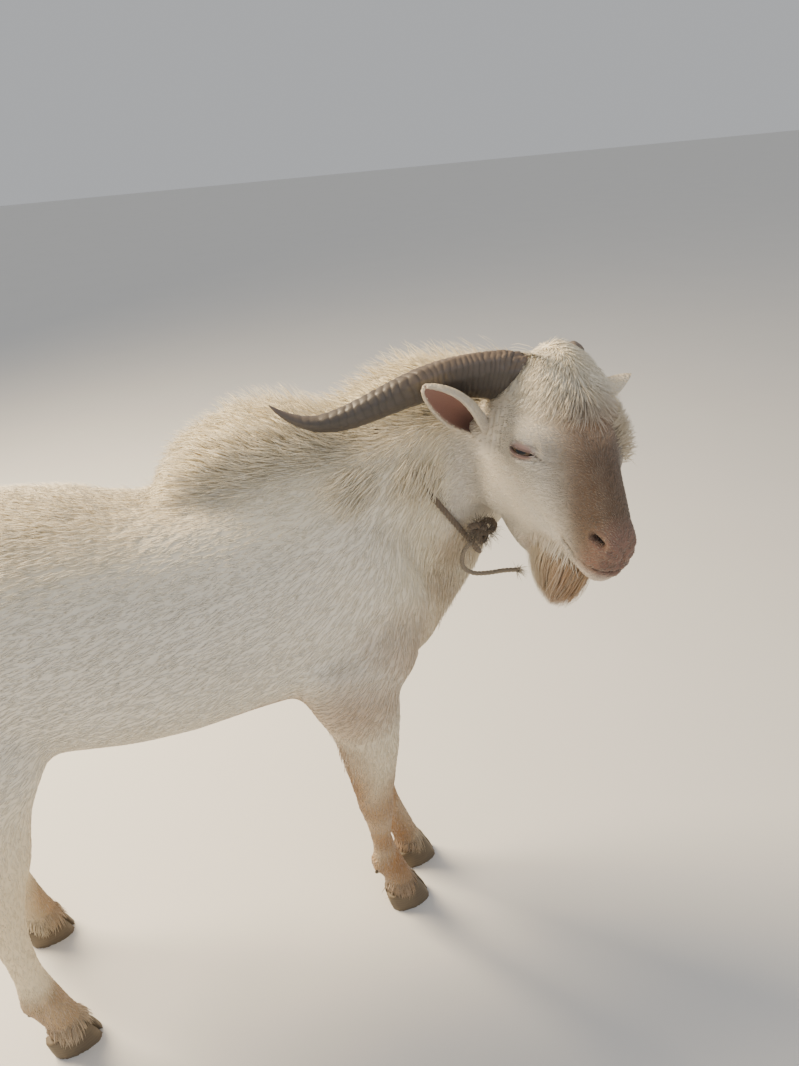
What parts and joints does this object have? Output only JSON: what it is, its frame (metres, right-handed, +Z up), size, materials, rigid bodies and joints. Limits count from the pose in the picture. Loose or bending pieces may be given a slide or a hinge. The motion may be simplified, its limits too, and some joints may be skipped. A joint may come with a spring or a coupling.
{
  "type": "billy goat model",
  "caption": "Life-size standing billy goat with its head turned to its right, swept-back horns, short beard and a knotted rope collar",
  "frame": {"origin": "under the middle of the goat's box, on the floor", "axes": "+X the way the body points, +Y the goat's left, +Z up; the head is turned towards -Y"},
  "size_m": [1.1438, 0.4156, 0.8944],
  "materials": {
    "coat": "soft white to ivory hair, stained tan below and grey-brown on the muzzle",
    "horn": "dry grey-brown horn with fine growth rings",
    "hoof": "worn pale brown hoof horn",
    "eye": "wet amber-brown eye with a level slit pupil",
    "rope": "worn grey-brown twisted rope"
  },
  "bodies": {
    "root": {"beard": "coat", "claw_front_left_inner": "hoof", "claw_front_left_outer": "hoof", "claw_front_right_inner": "hoof", "claw_front_right_outer": "hoof", "claw_hind_left_inner": "hoof", "claw_hind_left_outer": "hoof", "claw_hind_right_inner": "hoof", "claw_hind_right_outer": "hoof", "collar_end": "rope", "collar_knot": "rope", "collar_rope": "rope", "ear_left": "coat", "ear_right": "coat", "eye_left": "eye", "eye_right": "eye", "forearm_left": "coat", "forearm_right": "coat", "foreshank_left": "coat", "foreshank_right": "coat", "head": "coat", "hindshank_left": "coat", "hindshank_right": "coat", "horn_left": "horn", "horn_right": "horn", "neck": "coat", "rump": "coat", "tail": "coat", "thigh_left": "coat", "thigh_right": "coat", "trunk": "coat"}
  },
  "joints": []
}
